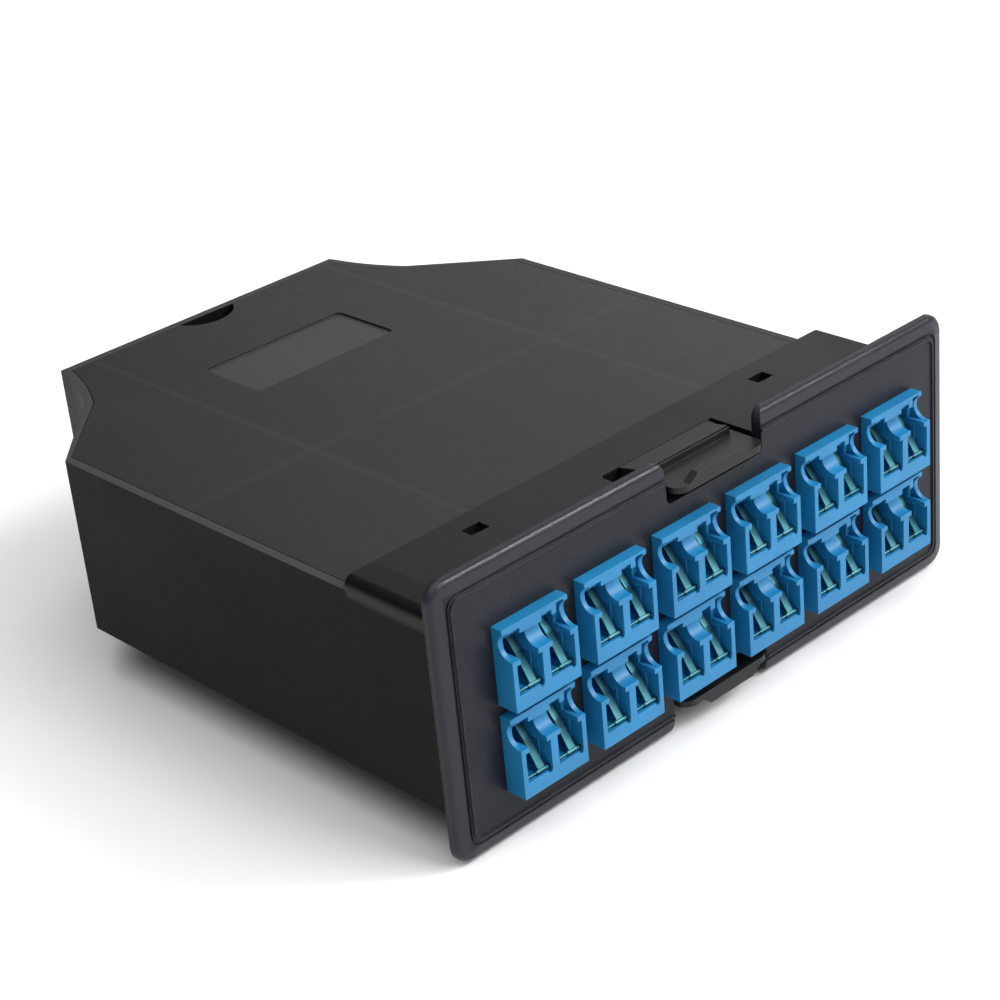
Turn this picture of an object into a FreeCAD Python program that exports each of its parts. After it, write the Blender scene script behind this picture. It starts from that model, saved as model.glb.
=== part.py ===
import FreeCAD, Part
import os
import math
import Sketcher

V = FreeCAD.Vector
os.makedirs("parts", exist_ok=True)
doc = FreeCAD.newDocument("fibre_cassette")
sheet = doc.addObject("Spreadsheet::Sheet", "Dims")
sheet.Label = "Dims"

# ---------------------------------------------------------------- dimensions
# millimetres; X across the faceplate, Y front to back, Z up
# origin in the middle of the faceplate's back face
TABLE = [
    # faceplate
    ("plate_w", 112.7), ("plate_hh", 45.46), ("plate_th", 1.9), ("plate_cr", 3.2),
    ("rim_in", 2.3), ("rim_drop", 0.5), ("bead_in", 3.1), ("bead_w", 0.34), ("bead_up", 0.26),
    ("groove_w", 0.4), ("groove_dp", 0.32), ("panel_in", 0.12),
    # notches in the plate for the finger tabs
    ("ntop_l", -10.16), ("ntop_r", 11.09), ("nbot_l", -11.3), ("nbot_r", 10.2), ("notch_z", 15.85),
    # adapters
    ("col_pitch", 16.19), ("col_mid", 0.65), ("row_top", 4.625), ("row_pitch", 14.4),
    ("ad_w", 12.79), ("ad_front", -5.63), ("ad_lip", -4.0), ("ad_lo", -4.69), ("ad_hi", 7.93),
    ("ad_post", 3.41), ("back_w", 12.4), ("back_lo", -3.1), ("back_hi", 6.2), ("back_end", 24.0),
    ("port_off", 3.125), ("port_hw", 2.325), ("port_hz", 2.31), ("latch_hw", 1.75), ("latch_z", 5.3),
    ("mouth_hw", 2.45), ("mouth_z", 2.6), ("mouth_y", -3.2), ("room_hw", 5.6), ("brow_lo", 6.1), ("slot_z", 6.95), ("port_end", 9.2), ("web_end", 12.8), ("boss_r", 1.4),
    ("boss_a", 7.6), ("boss_b", 14.4), ("sleeve_hr", 0.86),
    ("hinge_y", -4.72), ("hinge_z", -2.12), ("wire_r", 0.22),
    # housing
    ("house_l", -55.35), ("house_r", 46.65), ("house_lo", -14.71), ("house_hi", 15.86),
    ("house_y0", 0.05), ("house_back", 116.1), ("wall", 1.5), ("floor_th", 1.5), ("axis_x", -4.35),
    # cover
    ("cover_th", 2.0), ("cover_gap", 0.12), ("cover_y0", 14.8),
    ("label_l", -19.85), ("label_r", 10.25), ("label_a", 80.1), ("label_b", 95.1), ("label_dp", 0.35),
    # collar
    ("collar_l", -56.35), ("collar_rr", 47.4), ("collar_hi", 18.77), ("collar_y", 16.2), ("roof_th", 2.0),
    ("win_l", -37.2), ("win_r", -33.7), ("win_a", 10.4), ("win_b", 12.8),
    # latch
    ("tab_lo", 17.45), ("tab_hi", 18.45), ("tab_front", -3.65), ("pad_hi", 19.75), ("pad_back", -2.25),
    ("catch_front", 2.7), ("catch_hi", 19.7), ("catch_back", 8.2), ("latch_l", -9.3), ("latch_r", 10.3),
    ("pivot_y", 12.6), ("pivot_z", 14.9), ("axle_r", 1.0), ("axle_fit", 0.05),
]


class Q:
    """A size: its sheet expression and its value together."""

    def __init__(self, text, value):
        self.text, self.value = text, float(value)

    def _mix(self, other, sign, flip=False):
        o = other if isinstance(other, Q) else Q(repr(float(other)), other)
        a, b = (o, self) if flip else (self, o)
        if sign == "+":
            v = a.value + b.value
        elif sign == "-":
            v = a.value - b.value
        elif sign == "*":
            v = a.value * b.value
        else:
            v = a.value / b.value
        return Q("(%s %s %s)" % (a.text, sign, b.text), v)

    def __add__(self, o):
        return self._mix(o, "+")

    __radd__ = __add__

    def __sub__(self, o):
        return self._mix(o, "-")

    def __rsub__(self, o):
        return self._mix(o, "-", True)

    def __mul__(self, o):
        return self._mix(o, "*")

    __rmul__ = __mul__

    def __truediv__(self, o):
        return self._mix(o, "/")

    def __neg__(self):
        return Q("(0 - %s)" % self.text, -self.value)


class Sizes:
    pass


D = Sizes()
for i, (alias, value) in enumerate(TABLE):
    sheet.set("A%d" % (i + 1), alias)
    sheet.set("B%d" % (i + 1), repr(float(value)))
    sheet.setAlias("B%d" % (i + 1), alias)
    setattr(D, alias, Q("Dims." + alias, value))
doc.recompute()


def val(q):
    return q.value if isinstance(q, Q) else float(q)


def bind(obj, prop, q):
    if isinstance(q, Q):
        obj.setExpression(prop, q.text)


# ---------------------------------------------------------------- helpers
def box(name, x0, x1, y0, y1, z0, z1):
    """Box between six bound faces."""
    o = doc.addObject("Part::Box", name)
    o.Length, o.Width, o.Height = val(x1) - val(x0), val(y1) - val(y0), val(z1) - val(z0)
    o.Placement = FreeCAD.Placement(V(val(x0), val(y0), val(z0)), FreeCAD.Rotation())
    for prop, a, b in (("Length", x0, x1), ("Width", y0, y1), ("Height", z0, z1)):
        if isinstance(a, Q) or isinstance(b, Q):
            bind(o, prop, (b if isinstance(b, Q) else Q(repr(float(b)), b)) - a)
    for prop, a in (("Placement.Base.x", x0), ("Placement.Base.y", y0), ("Placement.Base.z", z0)):
        bind(o, prop, a)
    return o


AXES = {"X": FreeCAD.Rotation(V(0, 1, 0), 90), "Y": FreeCAD.Rotation(V(1, 0, 0), -90), "Z": FreeCAD.Rotation()}


def cyl(name, r, length, x, y, z, axis):
    """Cylinder from its base centre along an axis."""
    o = doc.addObject("Part::Cylinder", name)
    o.Radius, o.Height = val(r), val(length)
    o.Placement = FreeCAD.Placement(V(val(x), val(y), val(z)), AXES[axis])
    bind(o, "Radius", r)
    bind(o, "Height", length)
    for prop, a in (("Placement.Base.x", x), ("Placement.Base.y", y), ("Placement.Base.z", z)):
        bind(o, prop, a)
    return o


def cone(name, r1, r2, length, x, y, z, axis):
    o = doc.addObject("Part::Cone", name)
    o.Radius1, o.Radius2, o.Height = val(r1), val(r2), val(length)
    o.Placement = FreeCAD.Placement(V(val(x), val(y), val(z)), AXES[axis])
    bind(o, "Radius1", r1)
    bind(o, "Radius2", r2)
    bind(o, "Height", length)
    for prop, a in (("Placement.Base.x", x), ("Placement.Base.y", y), ("Placement.Base.z", z)):
        bind(o, prop, a)
    return o


def fuse(name, items):
    o = doc.addObject("Part::MultiFuse", name)
    o.Shapes = items
    o.Refine = True
    return o


def cut(name, base, tools):
    o = doc.addObject("Part::Cut", name)
    o.Base = base
    o.Tool = tools[0] if len(tools) == 1 else fuse(name + "_tools", tools)
    o.Refine = True
    return o


def group(name, items):
    o = doc.addObject("Part::Compound", name)
    o.Links = items
    return o


def at(obj, x, y, z):
    """Bind an object's own placement."""
    obj.Placement = FreeCAD.Placement(V(val(x), val(y), val(z)), obj.Placement.Rotation)
    for prop, a in (("Placement.Base.x", x), ("Placement.Base.y", y), ("Placement.Base.z", z)):
        bind(obj, prop, a)
    return obj


def plane_of(body, role):
    for f in body.Origin.OriginFeatures:
        if f.Role == role:
            return f
    raise ValueError(role)


def arc_through(a, m, b):
    """Arc from a through m to b, held counter-clockwise; says whether a is its start."""
    d = 2 * (a.x * (m.y - b.y) + m.x * (b.y - a.y) + b.x * (a.y - m.y))
    qa, qm, qb = a.x ** 2 + a.y ** 2, m.x ** 2 + m.y ** 2, b.x ** 2 + b.y ** 2
    ux = (qa * (m.y - b.y) + qm * (b.y - a.y) + qb * (a.y - m.y)) / d
    uy = (qa * (b.x - m.x) + qm * (a.x - b.x) + qb * (m.x - a.x)) / d
    c = V(ux, uy, 0)
    left = (m.x - a.x) * (b.y - a.y) - (m.y - a.y) * (b.x - a.x) > 0
    p0, p1 = (a, b) if left else (b, a)
    t0, t1 = math.atan2(p0.y - c.y, p0.x - c.x), math.atan2(p1.y - c.y, p1.x - c.x)
    while t1 <= t0:
        t1 += 2 * math.pi
    return Part.ArcOfCircle(Part.Circle(c, V(0, 0, 1), (a - c).Length), t0, t1), left


def sketch(body, name, role, loops, offset=0.0):
    """Closed loops of lines and arcs; every corner is bound to the sheet.

    A loop is a list of corners (u, v) or (u, v, (mu, mv)) where the last pair
    is a point on the arc that leads from this corner to the next one."""
    sk = body.newObject("Sketcher::SketchObject", name)
    sk.AttachmentSupport = (plane_of(body, role), [""])
    sk.MapMode = "FlatFace"
    if isinstance(offset, Q) or offset:
        sk.AttachmentOffset = FreeCAD.Placement(V(0, 0, val(offset)), FreeCAD.Rotation())
        bind(sk, "AttachmentOffset.Base.z", offset)
    for loop in loops:
        if loop[0] == "circle":
            cx, cy, cr = loop[1:]
            g = sk.addGeometry(Part.Circle(V(val(cx), val(cy), 0), V(0, 0, 1), val(cr)), False)
            for kind, c in (("DistanceX", cx), ("DistanceY", cy)):
                k = sk.addConstraint(Sketcher.Constraint(kind, -1, 1, g, 3, val(c)))
                bind(sk, "Constraints[%d]" % k, c)
            k = sk.addConstraint(Sketcher.Constraint("Radius", g, val(cr)))
            bind(sk, "Constraints[%d]" % k, cr)
            continue
        n = len(loop)
        first = sk.GeometryCount
        sides = {}
        for i, p in enumerate(loop):
            q = loop[(i + 1) % n]
            a, b = V(val(p[0]), val(p[1]), 0), V(val(q[0]), val(q[1]), 0)
            if len(p) > 2:
                arc, turns_left = arc_through(a, V(val(p[2][0]), val(p[2][1]), 0), b)
                sides[first + i] = turns_left
                sk.addGeometry(arc, False)
            else:
                sk.addGeometry(Part.LineSegment(a, b), False)
        ends = []
        for i, p in enumerate(loop):
            q = loop[(i + 1) % n]
            g = first + i
            s, e = 1, 2
            if len(p) > 2:
                if not sides[g]:
                    s, e = 2, 1
            ends.append((g, s, e))
        for i in range(n):
            g, s, e = ends[i]
            g2, s2, e2 = ends[(i + 1) % n]
            sk.addConstraint(Sketcher.Constraint("Coincident", g, e, g2, s2))
        for i, p in enumerate(loop):
            g, s, e = ends[i]
            for kind, c in (("DistanceX", p[0]), ("DistanceY", p[1])):
                k = sk.addConstraint(Sketcher.Constraint(kind, -1, 1, g, s, val(c)))
                bind(sk, "Constraints[%d]" % k, c)
    return sk


def pad(body, name, sk, length, reverse=False, mid=False):
    f = body.newObject("PartDesign::Pad", name)
    f.Profile = sk
    f.Length = val(length)
    bind(f, "Length", length)
    f.Reversed = reverse
    f.Midplane = mid
    sk.Visibility = False
    return f


def pocket(body, name, sk, length, reverse=False, through=False):
    before = body.Tip
    doc.recompute()
    v0 = body.Shape.Volume
    f = body.newObject("PartDesign::Pocket", name)
    f.Profile = sk
    if through:
        f.Type = 1
    else:
        f.Length = val(length)
        bind(f, "Length", length)
    f.Reversed = reverse
    sk.Visibility = False
    doc.recompute()
    if sk.Shape.isNull():
        raise ValueError("sketch %s is empty: %s" % (sk.Name, sk.State))
    if not body.Shape.isValid() or v0 - body.Shape.Volume < 1e-4:
        raise ValueError("pocket %s: before %.3f after %.3f valid %s sketch %s %s" % (
            name, v0, body.Shape.Volume, body.Shape.isValid(), sk.State, sk.Shape.BoundBox))
    return f


def rect(x0, x1, y0, y1):
    return [(x0, y0), (x1, y0), (x1, y1), (x0, y1)]


def round_rect(x0, x1, y0, y1, r):
    k = 1 - math.sqrt(0.5)
    c = lambda a, b: (a, b)
    return [
        (x0 + r, y0), (x1 - r, y0, (x1 - r * k, y0 + r * k)), (x1, y0 + r), (x1, y1 - r, (x1 - r * k, y1 - r * k)),
        (x1 - r, y1), (x0 + r, y1, (x0 + r * k, y1 - r * k)), (x0, y1 - r), (x0, y0 + r, (x0 + r * k, y0 + r * k)),
    ]


def edges_where(shape, test):
    out = []
    for i, e in enumerate(shape.Edges):
        p = e.valueAt((e.FirstParameter + e.LastParameter) / 2)
        if test(e, p):
            out.append("Edge%d" % (i + 1))
    return out


def fillet(body, name, test, radius):
    doc.recompute()
    base = body.Tip
    names = edges_where(base.Shape, test)
    if not names:
        raise ValueError("no edges for " + name)
    f = body.newObject("PartDesign::Fillet", name)
    f.Base = (base, names)
    f.Radius = val(radius)
    bind(f, "Radius", radius)
    doc.recompute()
    if "Invalid" in f.State or f.Shape.isNull() or not f.Shape.isValid():
        raise ValueError("fillet %s failed" % name)
    return f


def new_body(name):
    b = doc.addObject("PartDesign::Body", name)
    return b


FINAL = []


def keep(name, obj):
    obj.Label = name
    FINAL.append((name, obj))
    return obj


COLS = [D.col_mid + D.col_pitch * (i - 2.5) for i in range(6)]
ROWS = [("top", D.row_top), ("bottom", D.row_top - D.row_pitch)]

# ================================================================ front bezel
K = 1 - math.sqrt(0.5)
bz = new_body("bezel_body")
W, H = D.plate_w / 2, D.plate_hh / 2
base_th = D.plate_th - D.rim_drop
s = sketch(bz, "plate_outline", "XZ_Plane", [round_rect(-W, W, -H, H, D.plate_cr)])
pad(bz, "plate", s, base_th)
# the border slopes gently up from the edge to the flat front panel
lo = sketch(bz, "rim_low", "XZ_Plane", [round_rect(-W, W, -H, H, D.plate_cr)], base_th)
hi = sketch(bz, "rim_high", "XZ_Plane",
            [round_rect(-W + D.rim_in, W - D.rim_in, -H + D.rim_in, H - D.rim_in, D.plate_cr - 1.2)], D.plate_th)
loft = bz.newObject("PartDesign::AdditiveLoft", "rim")
loft.Profile = lo
loft.Sections = [hi]
loft.Ruled = True
lo.Visibility = hi.Visibility = False
doc.recompute()
fillet(bz, "plate_edge", lambda e, q: abs(q.y + val(base_th)) < 0.02, 1.1)


def ring(name, a, b, r_a, r_b, z):
    return sketch(bz, name, "XZ_Plane", [
        round_rect(-W + a, W - a, -H + a, H - a, r_a), round_rect(-W + b, W - b, -H + b, H - b, r_b)], z)


s = ring("groove_line", D.rim_in + D.panel_in, D.rim_in + D.panel_in + D.groove_w, 2.0, 1.7, D.plate_th + 0.01)
pocket(bz, "groove", s, D.groove_dp)
s = ring("bead_line", D.bead_in, D.bead_in + D.bead_w, 1.8, 1.6, D.plate_th - 0.05)
pad(bz, "bead", s, D.bead_up + 0.05)
# collar strip: a roof over the front of the body with short lips down its sides
cl, cr, ct = D.collar_l, D.collar_rr, D.collar_hi
roof = D.collar_hi - D.roof_th
under = D.house_hi + 0.08
s = sketch(bz, "collar_section", "XZ_Plane", [[
    (cl + 1.6, ct, (cl + 1.6 * K, ct - 1.6 * K)), (cl, ct - 1.6), (cl + 0.15, 15.9), (D.house_l - 0.25, 14.75),
    (D.house_l - 0.03, 14.75), (D.house_l - 0.03, under), (D.house_l + 1.6, under), (D.house_l + 2.4, roof),
    (D.house_r - 2.4, roof), (D.house_r - 1.6, under), (D.house_r + 0.03, under), (D.house_r + 0.03, 14.75),
    (D.house_r + 0.2, 14.75), (cr - 0.15, 15.9), (cr, ct - 1.6, (cr - 1.6 * K, ct - 1.6 * K)), (cr - 1.6, ct)]])
pad(bz, "collar", s, D.collar_y, reverse=True)
# rear lip of the collar, down to the lid
s = sketch(bz, "rear_lip_section", "XZ_Plane",
           [rect(D.house_l + 1.4, D.house_r - 1.4, under, roof + 0.2)], -(D.collar_y - 0.9))
pad(bz, "rear_lip", s, 0.9, reverse=True)
# bay for the lower catch, hanging below the body
bay_l, bay_r, bay_z = -17.0, 16.0, D.collar_hi
s = sketch(bz, "bay_section", "XZ_Plane", [[
    (bay_l, D.house_lo - 0.05), (bay_l, -bay_z + 1.2, (bay_l + 1.2 * K, -bay_z + 1.2 * K)), (bay_l + 1.2, -bay_z),
    (bay_r - 1.2, -bay_z, (bay_r - 1.2 * K, -bay_z + 1.2 * K)), (bay_r, -bay_z + 1.2), (bay_r, D.house_lo - 0.05),
    (bay_r - 1.5, D.house_lo - 0.05), (bay_r - 1.5, -roof), (bay_l + 1.5, -roof), (bay_l + 1.5, D.house_lo - 0.05)]])
pad(bz, "bay", s, D.collar_y, reverse=True)
s = sketch(bz, "bay_rear_section", "XZ_Plane",
           [rect(bay_l + 1.4, bay_r - 1.4, -roof - 0.2, D.house_lo - 0.05)], -(D.collar_y - 1.2))
pad(bz, "bay_rear", s, 1.2, reverse=True)
doc.recompute()
# finger notches, with rounded mouths
no, nr = 1.6, 1.0


def notch_loop(l, r, z, top):
    u = lambda a: a if top else -a
    e = H + 0.5
    return [(l - no, u(e)), (l - no, u(H), (l - no * K, u(H - no * K))), (l, u(H - no)), (l, u(z + nr), (l + nr * K, u(z + nr * K))),
            (l + nr, u(z)), (r - nr, u(z), (r - nr * K, u(z + nr * K))), (r, u(z + nr)), (r, u(H - no), (r + no * K, u(H - no * K))),
            (r + no, u(H)), (r + no, u(e))]


for nm, l, r, top in (("top", D.ntop_l, D.ntop_r, True), ("bottom", D.nbot_l, D.nbot_r, False)):
    s = sketch(bz, nm + "_notch_outline", "XZ_Plane", [notch_loop(l, r, D.notch_z, top)], -0.5)
    pocket(bz, nm + "_notch", s, D.plate_th + 1.5, reverse=True)
# adapter windows through the plate
loops = []
for rn, rz in ROWS:
    for cx in COLS:
        hw = D.back_w / 2 + 0.05
        loops.append(rect(cx - hw, cx + hw, rz + D.back_lo - 0.05, rz + D.back_hi + 0.05))
s = sketch(bz, "window_outlines", "XZ_Plane", loops, -0.5)
pocket(bz, "adapter_windows", s, D.plate_th + 1.5, reverse=True)
# slots in the collar roof and in the bay for the two catches, and the snap windows
s = sketch(bz, "catch_slot_top", "XY_Plane", [
    [(D.ntop_l - 3.2, 0.0), (D.ntop_r + 0.1, 0.0), (D.ntop_r + 0.1, D.catch_back + 0.08),
     (D.ntop_l - 2.2, D.catch_back + 0.08, (D.ntop_l - 3.2 + K, D.catch_back + 0.08 - K)), (D.ntop_l - 3.2, D.catch_back - 0.92)],
    rect(D.win_l, D.win_r, D.win_a, D.win_b),
    rect(2 * D.axis_x - D.win_r, 2 * D.axis_x - D.win_l, D.win_a, D.win_b)], D.collar_hi + 0.5)
pocket(bz, "top_slots", s, D.roof_th + 1.0)
s = sketch(bz, "catch_slot_bottom", "XY_Plane", [
    [(D.nbot_l - 0.1, 0.0), (D.nbot_r + 3.2, 0.0), (D.nbot_r + 3.2, D.catch_back - 0.92, (D.nbot_r + 3.2 - K, D.catch_back + 0.08 - K)),
     (D.nbot_r + 2.2, D.catch_back + 0.08), (D.nbot_l - 0.1, D.catch_back + 0.08)]], -(D.collar_hi + 0.5))
pocket(bz, "bottom_slot", s, D.roof_th + 1.0, reverse=True)
# ears that carry the catch pivots
for nm, up in (("top", 1), ("bottom", -1)):
    l = D.latch_l if up > 0 else -D.latch_r - 0.1
    r = D.latch_r if up > 0 else -D.latch_l - 0.1
    ears, holes = [], []
    for x0, x1 in ((l - 2.6, l - 0.6), (r + 0.6, r + 2.6)):
        ears.append([(x0, up * (D.pivot_z - 1.9)), (x1, up * (D.pivot_z - 1.9)), (x1, up * (roof + 0.3)), (x0, up * (roof + 0.3))])
    s = sketch(bz, nm + "_ears_section", "XZ_Plane", ears, -(D.pivot_y - 1.9))
    pad(bz, nm + "_ears", s, 3.8, reverse=True)
    cy, cz, rr = D.pivot_y, up * D.pivot_z, D.axle_r + D.axle_fit
    s = sketch(bz, nm + "_pivot_circle", "YZ_Plane", [["circle", cy, cz, rr]], l - 3.0)
    pocket(bz, nm + "_pivot_hole", s, (r - l) + 6.0, reverse=True)
# seats for the catch springs
for nm, up, lo_z in (("top", 1, 13.0), ("bottom", -1, 13.05)):
    s = sketch(bz, nm + "_seat_section", "XZ_Plane", [rect(-4.5, 5.0, up * lo_z, up * 13.9) if up > 0 else rect(-5.0, 4.5, -13.9, -lo_z)])
    pad(bz, nm + "_seat", s, 6.0, reverse=True)
# side tongues that push into the tray
for nm, x0, x1 in (("left", D.house_l + D.wall + 0.1, D.house_l + D.wall + 1.6),):
    s = sketch(bz, nm + "_tongue_section", "XZ_Plane", [rect(x0, x1, -11.0, 9.0)])
    pad(bz, nm + "_tongue", s, 13.0, reverse=True)
doc.recompute()
keep("front_bezel", bz)

# ================================================================ lower housing
hs = new_body("housing_body")


def outline(w):
    """Plan outline of the body, moved inwards by a wall thickness w."""
    l, r, ax = D.house_l + w, D.house_r - w, D.axis_x
    t = w * 0.4142
    y0 = D.house_y0 - (1.0 if w else 0.0)
    left = [(l, 85.3 + 0.3 * w), (-40.65 + 0.8 * w, 100.9 - 0.6 * w), (-35.85 + 0.95 * w, 112.1 - 0.32 * w),
            (-34.85 + 0.78 * w, D.house_back - w)]
    mid = (-38.05 + 0.87 * w, 105.9 - 0.49 * w)
    m = lambda p: (2 * ax - p[0], p[1])
    return [(l, y0), (r, y0), m(left[0]), (m(left[1])[0], m(left[1])[1], m(mid)), m(left[2]), m(left[3]),
            left[3], (left[2][0], left[2][1], mid), left[1], left[0]]


s = sketch(hs, "outer_outline", "XY_Plane", [outline(0.0)], D.house_hi)
p = pad(hs, "outer", s, D.house_hi - D.house_lo, reverse=True)
# bulge over the end adapters
s = sketch(hs, "bulge_outline", "XY_Plane", [rect(D.house_r - 1.0, 49.1, D.house_y0, 38.3)], D.house_lo)
pad(hs, "bulge", s, 11.8 - D.house_lo)
s = sketch(hs, "inner_outline", "XY_Plane", [outline(D.wall)], D.house_hi + 1.0)
pocket(hs, "inside", s, D.house_hi + 1.0 - D.house_lo - D.floor_th)
s = sketch(hs, "bulge_inner", "XZ_Plane", [rect(40.0, 47.65, D.house_lo + D.floor_th, 11.1)], 1.0)
pocket(hs, "bulge_inside", s, 37.9)
s = sketch(hs, "bay_outline", "XY_Plane", [rect(-15.4, 14.4, -1.0, 14.9)], D.house_lo - 1.0)
pocket(hs, "bay_opening", s, D.floor_th + 2.0, reverse=True)
doc.recompute()


def turned(name, items, x, y, z, angle):
    """A group of solids set at an angle behind a rear corner."""
    g = group(name, items)
    g.Placement = FreeCAD.Placement(V(x, y, z), FreeCAD.Rotation(V(0, 0, 1), angle))
    return g


MPO = [("left", -47.75, 45.0), ("right", 2 * D.axis_x.value + 47.75, -45.0)]
MY, MZ = 93.8, 0.58
wins = []
for side, mx, ang in MPO:
    b = box("mpo_window_" + side, -6.8, 6.8, -6.0, 4.0, -5.0, 5.0)
    wins.append(turned("mpo_window_turned_" + side, [b], mx, MY, MZ, ang))
# rests for the lid
rests = [cyl("lid_rest_%d" % i, 2.2, D.house_hi - D.cover_th - D.house_lo - 0.5, x, y, D.house_lo + 0.5, "Z")
         for i, (x, y) in enumerate(((-49.0, 30.0), (-49.0, 74.0), (43.2, 52.0), (40.3, 74.0), (-29.5, 110.3), (20.8, 110.3)))]
tray = cut("tray", fuse("tray_with_rests", [hs] + rests), wins)
doc.recompute()
keep("lower_housing", tray)

# ================================================================ top cover
cv = new_body("cover_body")


def cover_outline(w):
    o = outline(w)
    o[0] = (o[0][0], D.cover_y0)
    o[1] = (o[1][0], D.cover_y0)
    return o


s = sketch(cv, "cover_plan", "XY_Plane", [cover_outline(D.wall + D.cover_gap)], D.house_hi)
pad(cv, "cover_plate", s, D.cover_th, reverse=True)
s = sketch(cv, "label_outline", "XY_Plane", [round_rect(D.label_l, D.label_r, D.label_a, D.label_b, 1.3)], D.house_hi)
pocket(cv, "label_recess", s, D.label_dp)
ty = D.house_back - D.wall - D.cover_gap
s = sketch(cv, "thumb_outline", "XY_Plane", [[
    (-10.35, ty + 1.0), (-10.35, ty, (-4.35, ty - 4.0)), (1.65, ty), (1.65, ty + 1.0)]], D.house_hi)
pocket(cv, "thumb_notch", s, D.cover_th + 1.0)
# snap tongues that reach under the collar into its windows
for nm, l, r in (("left", D.win_l, D.win_r), ("right", 2 * D.axis_x - D.win_r, 2 * D.axis_x - D.win_l)):
    s = sketch(cv, nm + "_tongue_outline", "YZ_Plane", [[
        (D.cover_y0 + 0.5, 14.2), (D.cover_y0 + 0.5, D.house_hi - 0.1), (D.cover_y0 - 0.3, 16.6), (D.win_b - 0.25, 16.6), (D.win_b - 0.25, 17.5),
        (D.win_a + 0.9, 17.5), (D.win_a - 0.3, 16.2), (D.win_a - 0.3, 14.9), (D.win_b, 14.2)]], l + 0.3)
    pad(cv, nm + "_tongue", s, r - l - 0.6)
doc.recompute()
keep("top_cover", cv)


# ================================================================ catches
lt = new_body("latch_body")
l, r = D.latch_l, D.latch_r
s = sketch(lt, "lever_profile", "YZ_Plane", [[
    (D.tab_front, D.tab_lo), (D.tab_front, D.tab_hi), (3.0, D.tab_hi), (D.catch_back, ct - 0.07), (D.catch_back, roof - 0.15),
    (D.pivot_y, D.pivot_z + 1.5, (D.pivot_y + 1.06, D.pivot_z + 1.06)), (D.pivot_y + 1.5, D.pivot_z, (D.pivot_y + 1.06, D.pivot_z - 1.06)),
    (D.pivot_y, D.pivot_z - 1.5), (11.0, 14.3), (6.8, 15.1), (6.3, D.tab_lo)]], l)
pad(lt, "lever", s, r - l)
s = sketch(lt, "ramp_profile", "YZ_Plane", [[
    (D.catch_front, D.tab_hi - 0.2), (D.catch_front, D.catch_hi - 0.16), (D.catch_front + 0.28, D.catch_hi - 0.16), (D.catch_front + 0.28, D.catch_hi - 0.34),
    (D.catch_front + 0.50, D.catch_hi - 0.34), (D.catch_front + 0.50, D.catch_hi), (D.catch_back - 0.05, ct - 0.04), (D.catch_back - 0.05, D.tab_hi - 0.2)]], l)
pad(lt, "ramp", s, r - l - 1.1)
s = sketch(lt, "pad_profile", "XZ_Plane", [[
    (-7.0, D.tab_hi - 0.2), (-5.0, D.pad_hi), (4.8, D.pad_hi), (6.7, D.tab_hi - 0.2)]], -D.pad_back)
pad(lt, "finger_pad", s, D.pad_back - D.tab_front)
s = sketch(lt, "axle_profile", "YZ_Plane", [["circle", D.pivot_y, D.pivot_z, D.axle_r]], l - 2.5)
pad(lt, "axle", s, r - l + 5.0)
fillet(lt, "tab_corners", lambda e, q: e.Length < 1.6 and abs(q.y - D.tab_front.value) < 0.01 and
       (abs(q.x - l.value) < 0.01 or abs(q.x - r.value) < 0.01) and abs(e.tangentAt(e.FirstParameter).z) > 0.99, 2.2)
doc.recompute()
keep("top_latch", lt)
low = group("bottom_latch_turned", [lt])
low.Placement = FreeCAD.Placement(V(-0.1, 0, 0), FreeCAD.Rotation(V(0, 1, 0), 180))
keep("bottom_latch", low)


# bent strip springs that push the tabs back out
sg = new_body("spring_body")
s = sketch(sg, "spring_profile", "YZ_Plane", [[
    (1.4, 13.91), (5.0, 13.91, (5.628, 14.392)), (5.325, 15.123), (1.347, 17.42), (1.222, 17.2035),
    (5.2, 14.906, (5.386, 14.456)), (5.0, 14.16), (1.4, 14.16)]], -2.5)
pad(sg, "strip", s, 6.0)
doc.recompute()
keep("top_latch_spring", sg)
low = group("bottom_spring_turned", [sg])
low.Placement = FreeCAD.Placement(V(-0.1, 0, 0), FreeCAD.Rotation(V(0, 1, 0), 180))
keep("bottom_latch_spring", low)

# ================================================================ LC adapter
ab = new_body("adapter_block")
hw = D.ad_w / 2
s = sketch(ab, "shroud_profile", "YZ_Plane", [[
    (D.ad_front, D.ad_lo), (D.ad_front, D.ad_post, (-3.80, 3.95)), (-3.05, 5.4, (-3.30, 6.45)), (D.ad_lip, 7.15), (D.ad_lip, D.ad_hi),
    (-D.plate_th, D.ad_hi), (-D.plate_th, D.ad_lo)]], -hw)
pad(ab, "shroud", s, D.ad_w)
s = sketch(ab, "brow_profile", "YZ_Plane", [rect(D.ad_lip, -D.plate_th, D.brow_lo - 0.05, D.ad_hi)], -(hw - 0.9))
pad(ab, "brow", s, D.ad_w - 1.8)
s = sketch(ab, "back_profile", "YZ_Plane", [rect(-D.plate_th - 0.5, D.back_end, D.back_lo, D.back_hi)], -(D.back_w / 2))
pad(ab, "back_body", s, D.back_w)
doc.recompute()
tools = []
bosses, bores = [], []
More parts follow.
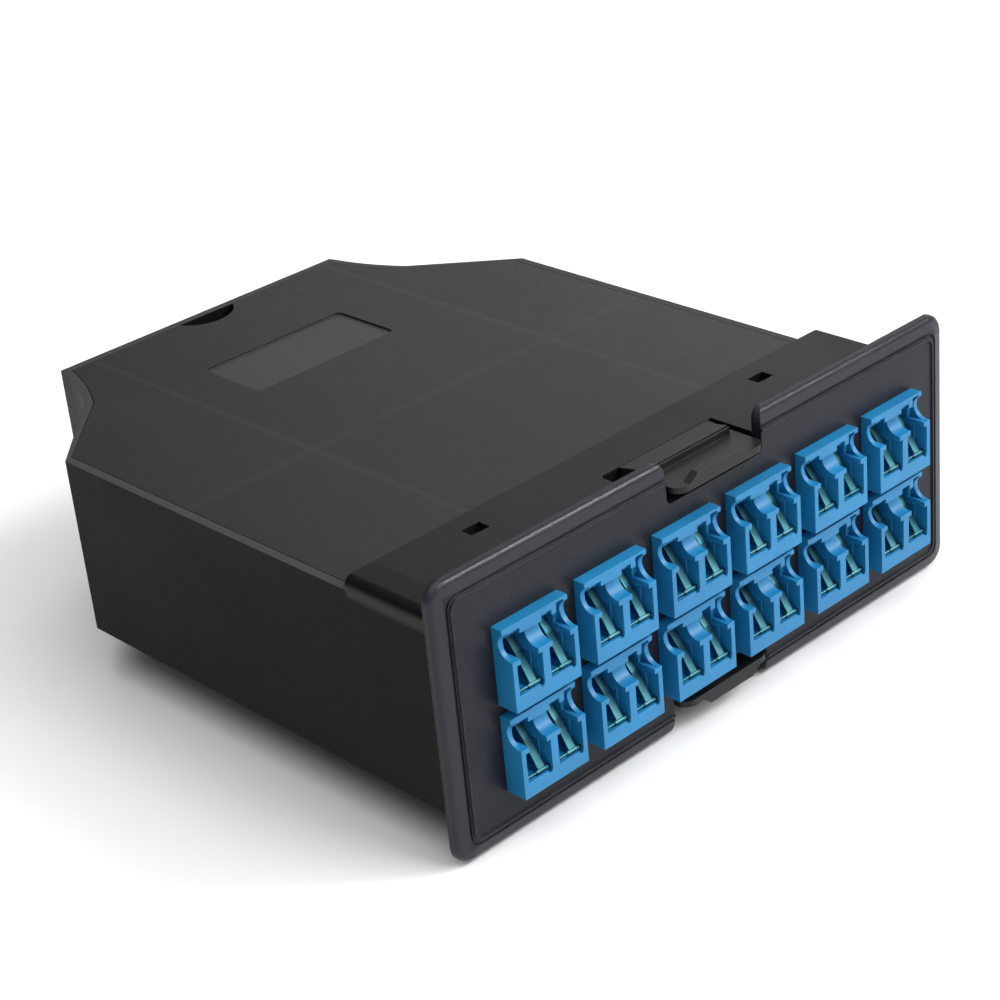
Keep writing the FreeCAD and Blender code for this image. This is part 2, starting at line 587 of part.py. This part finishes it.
for i, c in enumerate((-D.port_off, D.port_off + 0.0)):
    n = "port%d_" % i
    tools += [
        box(n + "plug", c - D.port_hw, c + D.port_hw, -7.0, D.port_end, -D.port_hz, D.port_hz),
        box(n + "latch_way", c - D.latch_hw, c + D.latch_hw, -7.0, D.port_end, D.port_hz - 0.2, D.latch_z),
        box(n + "mouth", c - D.mouth_hw, c + D.mouth_hw, -7.0, D.mouth_y, -D.port_hz, D.mouth_z),
        box(n + "brow_way", c - D.latch_hw, c + D.latch_hw, -7.0, -2.2, D.port_hz - 0.2, D.brow_lo),
        box(n + "foot_pocket", c + 1.0 - 1.25, c + 1.0 + 1.25, -5.2, -4.15, -2.76, -D.port_hz + 0.1),
        box(n + "leaf_bed", c + 1.0 - 0.85, c + 1.0 + 0.85, -4.9, 4.8, -2.76, -D.port_hz + 0.1),
        box(n + "inner_plug", c - D.port_hw, c + D.port_hw, D.web_end, D.back_end + 1, -D.port_hz, D.port_hz),
        box(n + "inner_latch_way", c - D.latch_hw, c + D.latch_hw, D.web_end, D.back_end + 1, D.port_hz - 0.2, D.latch_z),
        box(n + "drain", c + 1.6, c + D.port_hw, -7.0, -4.6, -2.75, -D.port_hz + 0.1),
    ]
    bosses.append(cyl(n + "boss", D.boss_r, D.boss_b - D.boss_a, c, D.boss_a, 0.0, "Y"))
    bores.append(cyl(n + "bore", D.sleeve_hr, D.boss_b - D.boss_a + 2.0, c, D.boss_a - 1.0, 0.0, "Y"))
ad_top = D.ad_post + 0.01
tools += [
    box("room_left", -D.room_hw, -(D.port_off - D.latch_hw), -7.0, -2.4, ad_top, D.brow_lo),
    box("room_right", D.port_off - D.latch_hw, D.room_hw, -7.0, -2.4, ad_top, D.brow_lo),
    box("slot_left", -D.room_hw, -3.06, -7.0, -2.6, D.brow_lo - 0.2, D.slot_z),
    box("slot_right", 1.2, 3.15, -7.0, -2.6, D.brow_lo - 0.2, D.slot_z),
    box("slot_end", 4.1, D.room_hw, -7.0, -2.6, D.brow_lo - 0.2, 7.55),
]
tools.append(box("floor_line", -(hw - 0.9), hw - 0.9, -5.15, -4.85, -2.7, -D.port_hz + 0.1))
tools.append(box("wire_way", -5.9, 5.9, -5.02, -4.42, -2.45, -1.8))
hollow = cut("adapter_hollow", ab, tools)
adapter = cut("adapter", fuse("adapter_bossed", [hollow] + bosses), bores)

# leaf shutter: two leaves on one wire
sh = new_body("shutter_body")
s = sketch(sh, "wire_profile", "YZ_Plane", [["circle", D.hinge_y, D.hinge_z, D.wire_r]], -5.75)
pad(sh, "wire", s, 11.5)
for i, c in enumerate((-D.port_off + 1.0, D.port_off + 1.0)):
    s = sketch(sh, "foot_profile%d" % i, "YZ_Plane", [["circle", D.hinge_y, D.hinge_z, 0.38]], c - 1.15)
    pad(sh, "foot%d" % i, s, 2.3)
    s = sketch(sh, "leaf_profile%d" % i, "YZ_Plane", [[
        (-4.98, -2.1), (-2.20, 2.25), (-0.05, 4.72), (0.10, 5.10), (0.34, 5.02), (0.16, 4.58), (-1.98, 2.10), (-4.66, -2.1)]], c - 0.65)
    pad(sh, "leaf%d" % i, s, 1.3)
doc.recompute()

# retaining clip behind the faceplate
ck = new_body("clip_body")
s = sketch(ck, "clip_profile", "YZ_Plane", [[
    (0.1, 6.2), (0.1, 7.7), (0.4, 7.7), (0.9, 6.5), (9.0, 6.5), (9.6, 6.75), (9.7, 6.5), (9.1, 6.2)]], -3.9)
pad(ck, "clip", s, 7.8)
doc.recompute()


def copies(name, master, x, z):
    g = group(name, [master])
    return at(g, x, 0.0, z)


clips = []
for rn, rz in ROWS:
    for i, cx in enumerate(COLS):
        keep("lc_adapter_%s_%d" % (rn, i + 1), copies("lc_adapter_%s_%d" % (rn, i + 1), adapter, cx, rz))
        keep("shutter_%s_%d" % (rn, i + 1), copies("shutter_%s_%d" % (rn, i + 1), sh, cx, rz))
        clips.append(copies("clip_%s_%d" % (rn, i + 1), ck, cx, rz))
keep("adapter_clips", group("clip_group", clips))

# alignment sleeve, inner plug, ferrule and boot for one port
sleeve = cut("sleeve", cyl("sleeve_out", 0.81, 6.4, 0.0, 7.8, 0.0, "Y"),
             [cyl("sleeve_in", 0.63, 8.4, 0.0, 6.8, 0.0, "Y"), box("sleeve_slit", -0.12, 0.12, 7.0, 15.0, 0.3, 1.2)])
pl = new_body("plug_body")
s = sketch(pl, "plug_profile", "YZ_Plane", [[
    (14.6, -2.0), (14.6, 2.0), (15.2, 2.25), (27.5, 2.25), (27.5, -2.25), (15.2, -2.25)]], -2.25)
pad(pl, "plug", s, 4.5)
s = sketch(pl, "lever_side", "YZ_Plane", [[(16.0, 2.1), (16.0, 2.6), (18.6, 3.6), (18.6, 4.4), (20.2, 4.4), (26.6, 4.9), (26.6, 4.2), (19.6, 3.5), (18.2, 2.1)]], -1.5)
pad(pl, "lever", s, 3.0)
s = sketch(pl, "ferrule_hole", "XZ_Plane", [["circle", 0.0, 0.0, 0.66]], -14.0)
pocket(pl, "ferrule_bore", s, 3.4)
doc.recompute()
ferrule = cyl("ferrule", 0.62, 6.2, 0.0, 11.05, 0.0, "Y")
boot = cone("boot", 1.9, 0.9, 7.5, 0.0, 27.5, 0.0, "Y")
for rn, rz in ROWS:
    for label, master in (("split_sleeves", sleeve), ("lc_plugs", pl), ("lc_ferrules", ferrule), ("lc_boots", boot)):
        items = []
        for i, cx in enumerate(COLS):
            for j, c in enumerate((-D.port_off, D.port_off + 0.0)):
                items.append(copies("%s_%s_%d_%d" % (label, rn, i, j), master, cx + c, rz))
        keep("%s_%s" % (label, rn), group("%s_%s_group" % (label, rn), items))

# ================================================================ MPO end
mpo_out = fuse("mpo_outer", [box("mpo_shell", -6.7, 6.7, -24.0, -0.2, -4.9, 4.9), box("mpo_flange", -8.4, 8.4, -3.5, -1.8, -6.2, 6.2)])
mpo = cut("mpo_adapter", mpo_out, [
    box("mpo_port_out", -6.25, 6.25, -10.6, 1.0, -3.85, 3.85), box("mpo_key_out", -1.6, 1.6, -10.6, 1.0, 3.7, 4.55),
    box("mpo_port_in", -6.25, 6.25, -25.0, -13.0, -3.85, 3.85), box("mpo_key_in", -1.6, 1.6, -25.0, -13.0, 3.7, 4.55),
    box("mpo_web", -3.5, 3.5, -14.0, -10.0, -1.5, 1.5)])
mplug = fuse("mpo_plug", [box("mpo_plug_body", -6.1, 6.1, -31.0, -14.2, -3.7, 3.7), box("mpo_plug_key", -1.4, 1.4, -25.5, -14.8, 3.6, 4.4),
                          box("mpo_ferrule", -3.2, 3.2, -14.3, -11.9, -1.25, 1.25), box("mpo_boot", -3.4, 3.4, -41.0, -30.9, -2.0, 2.0)])
FAN = {"left": (-11.4, 3.3), "right": (-4.4, 6.4)}
for side, mx, ang in MPO:
    lo_z, hi_z = FAN[side]
    keep("mpo_adapter_" + side, turned("mpo_adapter_turned_" + side, [mpo], mx, MY, MZ, ang))
    keep("mpo_plug_" + side, turned("mpo_plug_turned_" + side, [mplug], mx, MY, MZ, ang))
    fan = box("fanout_box_" + side, -6.6, 6.6, -50.0, -41.0, lo_z - MZ, hi_z - MZ)
    keep("fanout_block_" + side, turned("fanout_turned_" + side, [fan], mx, MY, MZ, ang))

# ================================================================ fibre harness
# each fibre lies in one plane: an arc, a straight run and an arc, all tangent
FIBRE_R, BEND_R, FIBRE_Y = 0.3, 7.5, 35.0


def fibre(x, z, end, heading, rise):
    """Tube from a boot at (x, FIBRE_Y, z) heading +Y to a point in plan, heading at an angle, rising by rise."""
    dx = end[0] - x
    across = V(dx, 0, rise)
    across.normalize()
    if dx < 0:
        across = across * -1
    du, dv = dx / across.x, end[1] - FIBRE_Y
    best = None
    for a in (1, -1):
        for b in (1, -1):
            c1 = (-a * BEND_R, 0.0)
            c2 = (du - b * BEND_R * math.sin(heading), dv + b * BEND_R * math.cos(heading))
            gx, gy = c2[0] - c1[0], c2[1] - c1[1]
            gap = math.hypot(gx, gy)
            if a == b:
                run, way = gap, math.atan2(gy, gx)
            elif gap > 2 * BEND_R:
                run = math.sqrt(gap * gap - 4 * BEND_R * BEND_R)
                way = math.atan2(gy, gx) + a * math.asin(2 * BEND_R / gap)
            else:
                continue
            t1 = ((way - math.pi / 2) * a) % (2 * math.pi)
            t2 = ((heading - way) * b) % (2 * math.pi)
            t1, t2 = (0.0 if t1 > 6.2 else t1), (0.0 if t2 > 6.2 else t2)
            if max(t1, t2) > 2.8:
                continue
            total = BEND_R * (t1 + t2) + run
            if best is None or total < best[0]:
                best = (total, a, b, t1, t2, run, way, c1, c2)
    total, a, b, t1, t2, run, way, c1, c2 = best
    base = V(x, FIBRE_Y, z)

    def point(c, angle):
        return base + across * (c[0] + BEND_R * math.cos(angle)) + V(0, c[1] + BEND_R * math.sin(angle), 0)

    s1, s2 = math.pi / 2 - a * math.pi / 2, way - b * math.pi / 2
    edges = []
    if t1 > 1e-3:
        edges.append(Part.Arc(point(c1, s1), point(c1, s1 + a * t1 / 2), point(c1, s1 + a * t1)).toShape())
    edges.append(Part.LineSegment(point(c1, s1 + a * t1), point(c2, s2)).toShape())
    if t2 > 1e-3:
        edges.append(Part.Arc(point(c2, s2), point(c2, s2 + b * t2 / 2), point(c2, s2 + b * t2)).toShape())
    spine = Part.Wire(edges)
    ring = Part.Wire([Part.Circle(base, V(0, 1, 0), FIBRE_R).toShape()])
    tube = spine.makePipeShell([ring], True, False)
    if abs(tube.Volume / (math.pi * FIBRE_R ** 2 * spine.Length) - 1) > 0.005:
        raise ValueError("fibre at %.2f: volume is off its section times its length" % x)
    return tube


for side, rz, ex, ang, rise in (("left", ROWS[1][1], -12.32, 135.0, 0.6), ("right", ROWS[0][1], 3.62, 45.0, -0.6)):
    starts = [val(cx) + c for cx in COLS for c in (-D.port_off.value, D.port_off.value)]
    order = sorted(range(12), key=lambda k: abs(starts[k] - ex))
    th = math.radians(ang)
    fibres = []
    for k, x in enumerate(starts):
        off = (k - 5.5) * 1.1
        f = doc.addObject("Part::Feature", "fibre_%s_%d" % (side, k + 1))
        f.Shape = fibre(x, val(rz), (ex + off * math.sin(th), 58.37 - off * math.cos(th)), th, rise * order.index(k))
        fibres.append(f)
    keep("fibre_harness_" + side, group("fibre_group_" + side, fibres))

# ================================================================ export
doc.recompute()
for name, obj in FINAL:
    if "Invalid" in obj.State or "Error" in obj.State or obj.Shape.isNull() or not obj.Shape.isValid():
        raise ValueError("%s is not valid: %s" % (name, obj.State))
for o in doc.Objects:
    if "Invalid" in o.State or "Error" in o.State:
        raise ValueError("%s: %s" % (o.Name, o.State))
for name, obj in FINAL:
    obj.Shape.exportStep("parts/%s.step" % name)
    b = obj.Shape.BoundBox
    print("%-24s solids %2d volume %10.2f  x %.2f..%.2f y %.2f..%.2f z %.2f..%.2f" % (
        name, len(obj.Shape.Solids), obj.Shape.Volume, b.XMin, b.XMax, b.YMin, b.YMax, b.ZMin, b.ZMax))
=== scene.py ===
import bpy
from mathutils import Matrix, Vector


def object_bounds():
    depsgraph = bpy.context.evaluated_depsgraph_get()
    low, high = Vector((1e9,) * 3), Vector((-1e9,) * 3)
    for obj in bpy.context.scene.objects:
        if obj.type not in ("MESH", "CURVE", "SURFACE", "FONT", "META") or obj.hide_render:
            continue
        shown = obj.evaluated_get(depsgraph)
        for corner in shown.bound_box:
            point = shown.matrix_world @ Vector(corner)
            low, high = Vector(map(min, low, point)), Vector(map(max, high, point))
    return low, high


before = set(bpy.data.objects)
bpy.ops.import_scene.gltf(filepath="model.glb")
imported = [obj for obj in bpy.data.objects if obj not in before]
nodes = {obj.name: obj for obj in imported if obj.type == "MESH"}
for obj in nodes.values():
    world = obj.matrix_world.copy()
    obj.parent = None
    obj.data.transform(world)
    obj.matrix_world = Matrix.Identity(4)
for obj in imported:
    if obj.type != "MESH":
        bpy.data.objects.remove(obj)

scene = bpy.context.scene
cad_lo, cad_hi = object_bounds()
scene.view_settings.view_transform = "Standard"


# ---------------------------------------------------------------- camera
cam_data = bpy.data.cameras.new("camera")
cam = bpy.data.objects.new("camera", cam_data)
scene.collection.objects.link(cam)
cam_data.sensor_width = 36.0
cam_data.lens = 85.04
cam_data.clip_start = 0.01
cam_data.clip_end = 20.0
cam.matrix_world = Matrix((
    (0.7137802512, 0.3754555593, -0.5912282773, -0.22920741),
    (-0.6948466774, 0.2738211059, -0.6649887946, -0.21222105),
    (-0.0877829591, 0.8854688729, 0.4563321456, 0.17471415),
    (0.0, 0.0, 0.0, 1.0),
))
scene.camera = cam


# ---------------------------------------------------------------- node helpers
class Net:
    """A small wrapper round a material's node tree."""

    def __init__(self, name):
        self.mat = bpy.data.materials.new(name)
        self.mat.use_nodes = True
        self.tree = self.mat.node_tree
        self.tree.nodes.clear()
        self.out = self.tree.nodes.new("ShaderNodeOutputMaterial")
        self.bsdf = self.tree.nodes.new("ShaderNodeBsdfPrincipled")
        self.tree.links.new(self.bsdf.outputs[0], self.out.inputs[0])
        coord = self.tree.nodes.new("ShaderNodeTexCoord")
        self.obj = coord.outputs["Object"]

    def link(self, a, b):
        self.tree.links.new(a, b)

    def new(self, kind):
        return self.tree.nodes.new(kind)

    def stretched(self, scale):
        n = self.new("ShaderNodeMapping")
        n.inputs["Scale"].default_value = scale
        self.link(self.obj, n.inputs["Vector"])
        return n.outputs[0]

    def noise(self, scale, detail=2.0, rough=0.5, vector=None, distort=0.0):
        n = self.new("ShaderNodeTexNoise")
        n.inputs["Scale"].default_value = scale
        n.inputs["Detail"].default_value = detail
        n.inputs["Roughness"].default_value = rough
        n.inputs["Distortion"].default_value = distort
        self.link(vector if vector is not None else self.obj, n.inputs["Vector"])
        return n.outputs["Fac"]

    def remap(self, value, lo, hi, to_lo, to_hi, smooth=False):
        n = self.new("ShaderNodeMapRange")
        n.interpolation_type = "SMOOTHSTEP" if smooth else "LINEAR"
        n.clamp = True
        for key, v in (("From Min", lo), ("From Max", hi), ("To Min", to_lo), ("To Max", to_hi)):
            n.inputs[key].default_value = v
        self.link(value, n.inputs["Value"])
        return n.outputs["Result"]

    def math(self, op, a, b=None, c=None):
        n = self.new("ShaderNodeMath")
        n.operation = op
        for i, v in enumerate((a, b, c)):
            if v is None:
                continue
            if isinstance(v, (int, float)):
                n.inputs[i].default_value = float(v)
            else:
                self.link(v, n.inputs[i])
        return n.outputs[0]

    def mix(self, fac, a, b):
        n = self.new("ShaderNodeMix")
        n.data_type = "RGBA"
        ins = [s for s in n.inputs if s.type == "RGBA"]
        if isinstance(fac, (int, float)):
            n.inputs[0].default_value = fac
        else:
            self.link(fac, n.inputs[0])
        for s, v in zip(ins, (a, b)):
            if isinstance(v, (tuple, list)):
                s.default_value = (*v[:3], 1.0)
            else:
                self.link(v, s)
        return [s for s in n.outputs if s.type == "RGBA"][0]

    def edges(self, radius, lo, hi):
        """1 on outer and inner edges, 0 on open faces."""
        b = self.new("ShaderNodeBevel")
        b.samples = 4
        b.inputs["Radius"].default_value = radius
        g = self.new("ShaderNodeNewGeometry")
        d = self.new("ShaderNodeVectorMath")
        d.operation = "DOT_PRODUCT"
        self.link(b.outputs[0], d.inputs[0])
        self.link(g.outputs["Normal"], d.inputs[1])
        away = self.math("SUBTRACT", 1.0, d.outputs["Value"])
        return self.remap(away, lo, hi, 0.0, 1.0, True)

    def bumps(self, layers, radius=None):
        """layers: (height socket, distance in metres). Bumps chained, on a softly rounded edge normal."""
        normal = None
        if radius:
            b = self.new("ShaderNodeBevel")
            b.samples = 4
            b.inputs["Radius"].default_value = radius
            normal = b.outputs[0]
        for height, dist in layers:
            n = self.new("ShaderNodeBump")
            n.inputs["Strength"].default_value = 1.0
            n.inputs["Distance"].default_value = dist
            self.link(height, n.inputs["Height"])
            if normal is not None:
                self.link(normal, n.inputs["Normal"])
            normal = n.outputs[0]
        self.link(normal, self.bsdf.inputs["Normal"])

    def set(self, **kw):
        for key, v in kw.items():
            self.bsdf.inputs[key.replace("_", " ")].default_value = v


def moulded(name, dark, light, worn, rough=(0.4, 0.5), specular=0.5, grain=9e-6, radius=0.00016,
            wear=0.35, cloud=38.0, extra=None):
    """Injection-moulded plastic: fine spark-eroded grain, slow cloudiness and flow streaks, rubbed edges."""
    m = Net(name)
    clouds = m.noise(cloud, 4.0, 0.55)
    flow = m.noise(60.0, 3.0, 0.6, m.stretched((1.0, 0.16, 0.6)), 0.4)
    fine = m.noise(2300.0, 2.0, 0.6)
    speck = m.noise(5200.0, 1.0, 0.5)
    both = m.math("ADD", m.math("MULTIPLY", clouds, 0.65), m.math("MULTIPLY", flow, 0.35))
    tint = m.mix(m.remap(both, 0.36, 0.64, 0.0, 1.0, True), dark, light)
    tint = m.mix(m.math("MULTIPLY", m.remap(speck, 0.45, 0.75, 0.0, 1.0), 0.14), tint, worn)
    edge = m.math("MULTIPLY", m.edges(radius * 1.6, 0.02, 0.22), m.remap(m.noise(420.0, 3.0, 0.6), 0.3, 0.62, 0.25, 1.0))
    tint = m.mix(m.math("MULTIPLY", edge, wear), tint, worn)
    if extra:
        tint = extra(m, tint)
    m.link(tint, m.bsdf.inputs["Base Color"])
    r = m.remap(m.math("ADD", m.math("MULTIPLY", clouds, 0.5), m.math("MULTIPLY", fine, 0.5)), 0.38, 0.62, rough[0], rough[1])
    if getattr(m, "gloss", None):
        r = m.math("MULTIPLY", r, m.remap(m.gloss, 0.0, 1.0, 1.0, 0.55))
    m.link(r, m.bsdf.inputs["Roughness"])
    m.set(Metallic=0.0, IOR=1.5)
    m.bsdf.inputs["Specular IOR Level"].default_value = specular
    layers = [(clouds, 1.2e-4), (fine, grain), (speck, grain * 0.5)]
    if getattr(m, "more", None):
        layers = m.more + layers
    m.bumps(layers, radius)
    return m.mat


# ---------------------------------------------------------------- materials
def stripes(m, axis, at, half, depth):
    """A shallow sink line across the lid at one coordinate, for the ribs under it."""
    sep = m.new("ShaderNodeSeparateXYZ")
    m.link(m.obj, sep.inputs[0])
    off = m.math("ABSOLUTE", m.math("SUBTRACT", sep.outputs[axis], at))
    return m.remap(off, 0.0, half, 1.0, 0.0, True)


def inside(m, axis, lo, hi):
    """1 between two coordinates, 0 outside."""
    sep = m.new("ShaderNodeSeparateXYZ")
    m.link(m.obj, sep.inputs[0])
    return m.math("MULTIPLY", m.math("GREATER_THAN", sep.outputs[axis], lo), m.math("LESS_THAN", sep.outputs[axis], hi))


def lid_marks(m, tint):
    a = stripes(m, "Y", 0.0555, 0.0016, 1)
    b = stripes(m, "X", -0.0285, 0.0014, 1)
    c = stripes(m, "X", 0.0238, 0.0014, 1)
    both = m.math("MAXIMUM", m.math("MAXIMUM", a, b), c)
    m.more = [(both, -2.2e-5)]
    field = m.math("MULTIPLY", m.math("MULTIPLY", inside(m, "X", -0.01985, 0.01025), inside(m, "Y", 0.0801, 0.0951)), inside(m, "Z", 0.0150, 0.01566))
    tint = m.mix(m.math("MULTIPLY", field, 0.9), tint, (0.030, 0.029, 0.0295))
    return m.mix(m.math("MULTIPLY", both, 0.16), tint, (0.034, 0.032, 0.033))


def tray_top_painted_highlight(m, tint):
    """Painted highlight: everything above the lid line is painted a lighter grey, standing in for the light the lip
    catches as the lid does.
    """
    return m.mix(inside(m, "Z", 0.0158, 1.0), tint, (0.044, 0.042, 0.043))


def bezel_rim(m, tint):
    """The rolled rim of the plate is glossier than its field, and a lighter grey is painted on it as a painted
    highlight.
    """
    sep = m.new("ShaderNodeSeparateXYZ")
    m.link(m.obj, sep.inputs[0])
    x = m.math("GREATER_THAN", m.math("ABSOLUTE", sep.outputs["X"]), 0.0541)
    z = m.math("GREATER_THAN", m.math("ABSOLUTE", sep.outputs["Z"]), 0.0205)
    rim_ring_gloss_and_painted_highlight = m.math("MULTIPLY", m.math("MAXIMUM", x, z), m.math("LESS_THAN", sep.outputs["Y"], -0.0004))
    m.gloss = rim_ring_gloss_and_painted_highlight
    # painted highlight: the rim ring is mixed towards a lighter grey
    tint = m.mix(m.math("MULTIPLY", rim_ring_gloss_and_painted_highlight, 0.9), tint, (0.027, 0.029, 0.036))
    hood = m.math("GREATER_THAN", sep.outputs["Y"], 0.00015)
    # painted shade: the sides behind the plate, past 50.8 mm out, are painted near black for the shadow under the
    # collar's overhang
    flank_painted_shade = m.math("MULTIPLY", hood, m.math("GREATER_THAN", m.math("ABSOLUTE", sep.outputs["X"]), 0.0508))
    tint = m.mix(m.math("MULTIPLY", hood, 0.95), tint, (0.0065, 0.0062, 0.0064))
    return m.mix(flank_painted_shade, tint, (0.0020, 0.0020, 0.0021))


mat_cover = moulded("charcoal_lid", (0.0065, 0.0059, 0.0062), (0.0105, 0.0096, 0.0100), (0.040, 0.038, 0.038),
                    rough=(0.36, 0.46), specular=0.34, wear=0.30, extra=lid_marks)
mat_tray = moulded("black_tray", (0.0034, 0.0032, 0.0034), (0.0056, 0.0053, 0.0056), (0.026, 0.025, 0.026),
                   rough=(0.48, 0.60), specular=0.09, wear=0.25, extra=tray_top_painted_highlight)
mat_bezel = moulded("slate_bezel", (0.0078, 0.0088, 0.0128), (0.0106, 0.0120, 0.0174), (0.110, 0.118, 0.138),
                    rough=(0.32, 0.42), specular=0.17, wear=0.22, grain=6e-6, radius=0.00022, extra=bezel_rim)
mat_latch = moulded("charcoal_catch", (0.0080, 0.0080, 0.0084), (0.0120, 0.0120, 0.0125), (0.060, 0.060, 0.063),
                    rough=(0.34, 0.44), specular=0.25, wear=0.42)
mat_inner = moulded("grey_inner_block", (0.03, 0.032, 0.035), (0.05, 0.052, 0.055), (0.12, 0.12, 0.125),
                    rough=(0.42, 0.52), specular=0.45)
mat_lc = moulded("lc_blue", (0.0060, 0.155, 0.350), (0.0080, 0.188, 0.410), (0.100, 0.40, 0.65),
                 rough=(0.36, 0.46), specular=0.40, wear=0.32, grain=5e-6, radius=0.00012, cloud=90.0)
mat_plug = moulded("plug_blue", (0.006, 0.080, 0.23), (0.012, 0.105, 0.29), (0.07, 0.24, 0.46),
                   rough=(0.36, 0.46), specular=0.45, grain=5e-6, radius=0.0001, cloud=120.0)
mat_aqua = moulded("mpo_aqua", (0.02, 0.17, 0.20), (0.03, 0.22, 0.25), (0.14, 0.40, 0.42),
                   rough=(0.38, 0.48), specular=0.45, grain=5e-6, radius=0.00012, cloud=90.0)


def metal(name, dark, light, rough=(0.24, 0.36), wear=0.5, radius=0.0001, lines=(3.0, 60.0, 3.0)):
    """Rolled spring strip: fine drawing lines, faint tarnish, polished edges."""
    m = Net(name)
    drawn = m.noise(95.0, 4.0, 0.65, m.stretched(lines))
    cloud = m.noise(210.0, 3.0, 0.55)
    tint = m.mix(m.remap(cloud, 0.35, 0.65, 0.0, 1.0, True), dark, light)
    edge = m.math("MULTIPLY", m.edges(radius * 1.5, 0.02, 0.25), wear)
    tint = m.mix(edge, tint, tuple(min(1.0, 1.25 * c) for c in light))
    m.link(tint, m.bsdf.inputs["Base Color"])
    m.link(m.remap(m.math("ADD", m.math("MULTIPLY", drawn, 0.6), m.math("MULTIPLY", cloud, 0.4)), 0.35, 0.65, *rough),
           m.bsdf.inputs["Roughness"])
    m.set(Metallic=1.0)
    m.bumps([(drawn, 6e-6), (cloud, 1.5e-5)], radius)
    return m.mat


# painted reflection: the steel strip is tinted teal, standing in for the blue adapters it reflects
mat_leaf_painted_reflection = metal("shutter_strip", (0.040, 0.145, 0.175), (0.070, 0.205, 0.240), rough=(0.38, 0.50))
mat_clip = metal("clip_steel", (0.46, 0.46, 0.45), (0.60, 0.60, 0.58))
mat_wire = metal("spring_wire", (0.42, 0.42, 0.42), (0.58, 0.57, 0.55), lines=(20.0, 20.0, 20.0))


def ceramic(name, a, b):
    m = Net(name)
    cloud = m.noise(300.0, 3.0, 0.5)
    fine = m.noise(4000.0, 1.0, 0.5)
    m.link(m.mix(m.remap(cloud, 0.35, 0.65, 0.0, 1.0, True), a, b), m.bsdf.inputs["Base Color"])
    m.link(m.remap(fine, 0.4, 0.6, 0.16, 0.26), m.bsdf.inputs["Roughness"])
    m.set(Metallic=0.0, IOR=2.1)
    m.bumps([(fine, 1.5e-6), (cloud, 8e-6)], 0.00006)
    return m.mat


mat_zirconia = ceramic("zirconia", (0.78, 0.77, 0.73), (0.86, 0.85, 0.82))


def paint(names, mat):
    for n in names:
        o = nodes[n]
        o.data.materials.clear()
        o.data.materials.append(mat)


# which finish each node takes
for n in nodes:
    if n == "front_bezel":
        paint([n], mat_bezel)
    elif n == "top_cover":
        paint([n], mat_cover)
    elif n == "lower_housing":
        paint([n], mat_tray)
    elif n in ("top_latch", "bottom_latch"):
        paint([n], mat_latch)
    elif n.endswith("_latch_spring"):
        paint([n], mat_wire)
    elif n.startswith("lc_adapter"):
        paint([n], mat_lc)
    elif n.startswith("shutter_"):
        paint([n], mat_leaf_painted_reflection)
    elif n == "adapter_clips":
        paint([n], mat_clip)
    elif n.startswith(("split_sleeves", "lc_ferrules")):
        paint([n], mat_zirconia)
    elif n.startswith("lc_plugs"):
        paint([n], mat_plug)
    elif n.startswith("lc_boots"):
        paint([n], mat_inner)
    elif n.startswith("mpo_adapter"):
        paint([n], mat_latch)
    elif n.startswith("mpo_plug"):
        paint([n], mat_aqua)
    elif n.startswith("fanout_block"):
        paint([n], mat_inner)
    elif n.startswith("fibre_harness"):
        paint([n], mat_aqua)
    else:
        paint([n], mat_tray)

# flat faces stay flat, rolled edges read as rolled
for n, o in nodes.items():
    for p in o.data.polygons:
        p.use_smooth = False


# ---------------------------------------------------------------- floor and light
floor_z = cad_lo.z - 0.0004
fm = bpy.data.meshes.new("floor")
s = 6.0
fm.from_pydata([(-s, -s, floor_z), (s, -s, floor_z), (s, s, floor_z), (-s, s, floor_z)], [], [(0, 1, 2, 3)])
floor = bpy.data.objects.new("floor", fm)
scene.collection.objects.link(floor)
fnet = Net("pale_floor")
fc = fnet.noise(3.0, 2.0, 0.5)
fnet.link(fnet.mix(fc, (0.90, 0.90, 0.905), (0.93, 0.93, 0.93)), fnet.bsdf.inputs["Base Color"])
fnet.set(Roughness=0.9, Metallic=0.0)
fnet.bsdf.inputs["Specular IOR Level"].default_value = 0.1
fm.materials.append(fnet.mat)

world = bpy.data.worlds.new("studio")
scene.world = world
world.use_nodes = True
wt = world.node_tree
bg = wt.nodes["Background"]
bg.inputs[1].default_value = 1.0
way = wt.nodes.new("ShaderNodeTexCoord")
toward = wt.nodes.new("ShaderNodeVectorMath")
toward.operation = "DOT_PRODUCT"
toward.inputs[1].default_value = Vector((0.85, 0.35, 0.40)).normalized()
wt.links.new(way.outputs["Generated"], toward.inputs[0])
fade = wt.nodes.new("ShaderNodeMapRange")
fade.interpolation_type = "SMOOTHSTEP"
for key, v in (("From Min", 0.78), ("From Max", 0.98), ("To Min", 0.16), ("To Max", 1.0)):
    fade.inputs[key].default_value = v
wt.links.new(toward.outputs["Value"], fade.inputs["Value"])
wt.links.new(fade.outputs["Result"], bg.inputs[0])


def softbox(name, at, look, size, watts, colour=(1.0, 1.0, 1.0)):
    d = bpy.data.lights.new(name, "AREA")
    d.shape = "RECTANGLE"
    d.size, d.size_y = size
    d.energy = watts
    d.color = colour
    o = bpy.data.objects.new(name, d)
    scene.collection.objects.link(o)
    v = Vector(look) - Vector(at)
    o.rotation_mode = "QUATERNION"
    o.rotation_quaternion = v.to_track_quat("-Z", "Y")
    o.location = at
    return o


softbox("key_front", (0.70, -1.25, 1.15), (0.0, 0.0, 0.0), (1.5, 1.5), 32.0)
softbox("kicker", (0.94, -0.73, 1.06), (0.0, 0.0, 0.0), (0.4, 0.4), 8.0)
softbox("overhead", (-0.25, 0.0, 1.6), (0.0, 0.05, 0.0), (2.0, 2.0), 23.0)
